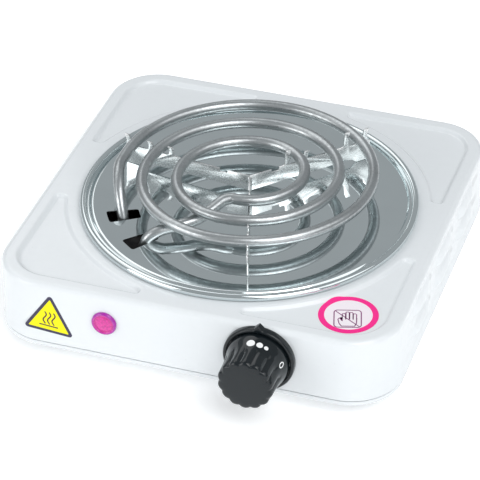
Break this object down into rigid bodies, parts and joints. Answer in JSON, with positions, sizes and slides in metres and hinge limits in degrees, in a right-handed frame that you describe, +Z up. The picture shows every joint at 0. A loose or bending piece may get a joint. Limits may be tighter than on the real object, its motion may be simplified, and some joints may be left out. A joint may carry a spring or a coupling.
{
  "type": "hot plate burner",
  "caption": "Square enamelled hot plate with a spiral tube element on a three-armed rest over a polished drip pan, a front knob and a lamp.",
  "frame": {"origin": "middle of the bounding box on the surface the feet stand on", "axes": "+Z up, -Y towards the knob side, +X to the right seen from the knob side"},
  "size_m": [0.2352, 0.264, 0.0745],
  "materials": {
    "white_enamel": "gloss",
    "mirror_steel": "mirror polished",
    "element_steel": "satin, annealed",
    "strip_steel": "bright, sheared strip",
    "zinc_steel": "zinc plated",
    "knob_black": "gloss",
    "bezel_black": "gloss",
    "gland_black": "matte",
    "foot_rubber": "matte",
    "brass": "satin",
    "blade_bronze": "satin",
    "ceramic": "matte, stands for steatite ceramic",
    "lens_magenta": "gloss, translucent",
    "lamp_body": "matte",
    "wire_brown": "satin",
    "wire_blue": "satin",
    "wire_green": "satin",
    "wire_grey": "satin",
    "label_yellow": "satin vinyl",
    "label_pink": "satin vinyl"
  },
  "bodies": {
    "casing": {"top_shell": "white_enamel", "base_plate": "white_enamel", "rubber_feet": "foot_rubber", "base_screws": "zinc_steel", "corner_brackets": "zinc_steel", "drip_pan": "mirror_steel", "pan_stud": "zinc_steel", "bridge_bar": "zinc_steel", "heat_shield": "zinc_steel", "pan_nut": "zinc_steel", "lead_bracket": "zinc_steel", "heater_coil": "element_steel", "end_seals": "ceramic", "terminal_pins": "zinc_steel", "support_vee": "strip_steel", "support_front_arm": "strip_steel", "knob_bezel": "bezel_black", "thermostat_bush": "brass", "thermostat_frame": "zinc_steel", "thermostat_screws": "zinc_steel", "ceramic_stack": "ceramic", "spring_blade": "blade_bronze", "contact_arm": "blade_bronze", "silver_contacts": "zinc_steel", "bimetal_strip": "zinc_steel", "stack_rivet": "zinc_steel", "indicator_lens": "lens_magenta", "indicator_lamp": "lamp_body", "lens_clip": "zinc_steel", "cord_gland": "gland_black", "gland_nut": "gland_black", "cord_anchor": "ceramic", "cord_saddle": "ceramic", "saddle_screws": "zinc_steel", "terminal_block": "ceramic", "terminal_screws": "brass", "earth_screw": "zinc_steel", "earth_nut": "brass", "thermal_fuse": "zinc_steel", "fuse_clip": "zinc_steel", "wire_live": "wire_brown", "wire_neutral": "wire_blue", "wire_switched": "wire_brown", "wire_earth": "wire_green", "lamp_wires": "wire_grey", "heat_label": "label_yellow", "touch_label": "label_pink"},
    "knob_body": {"knob": "knob_black", "knob_clip": "zinc_steel", "thermostat_spindle": "brass"},
    "push_pin": {"push_pin": "ceramic"}
  },
  "joints": [
    {"name": "knob_turn", "type": "hinge", "parent": "casing", "child": "knob_body", "pos_m": [0.0435, -0.104, 0.031], "axis": [0, 1, 0], "range_deg": [-69.5, 10]},
    {"name": "pin_slide", "type": "slide", "parent": "casing", "child": "push_pin", "axis": [0, 1, 0], "range_m": [-0.0009, 0.0002]}
  ],
  "couplings": [
    {"joint": "pin_slide", "follows": "knob_turn", "m_per_rad": 0.00067}
  ]
}
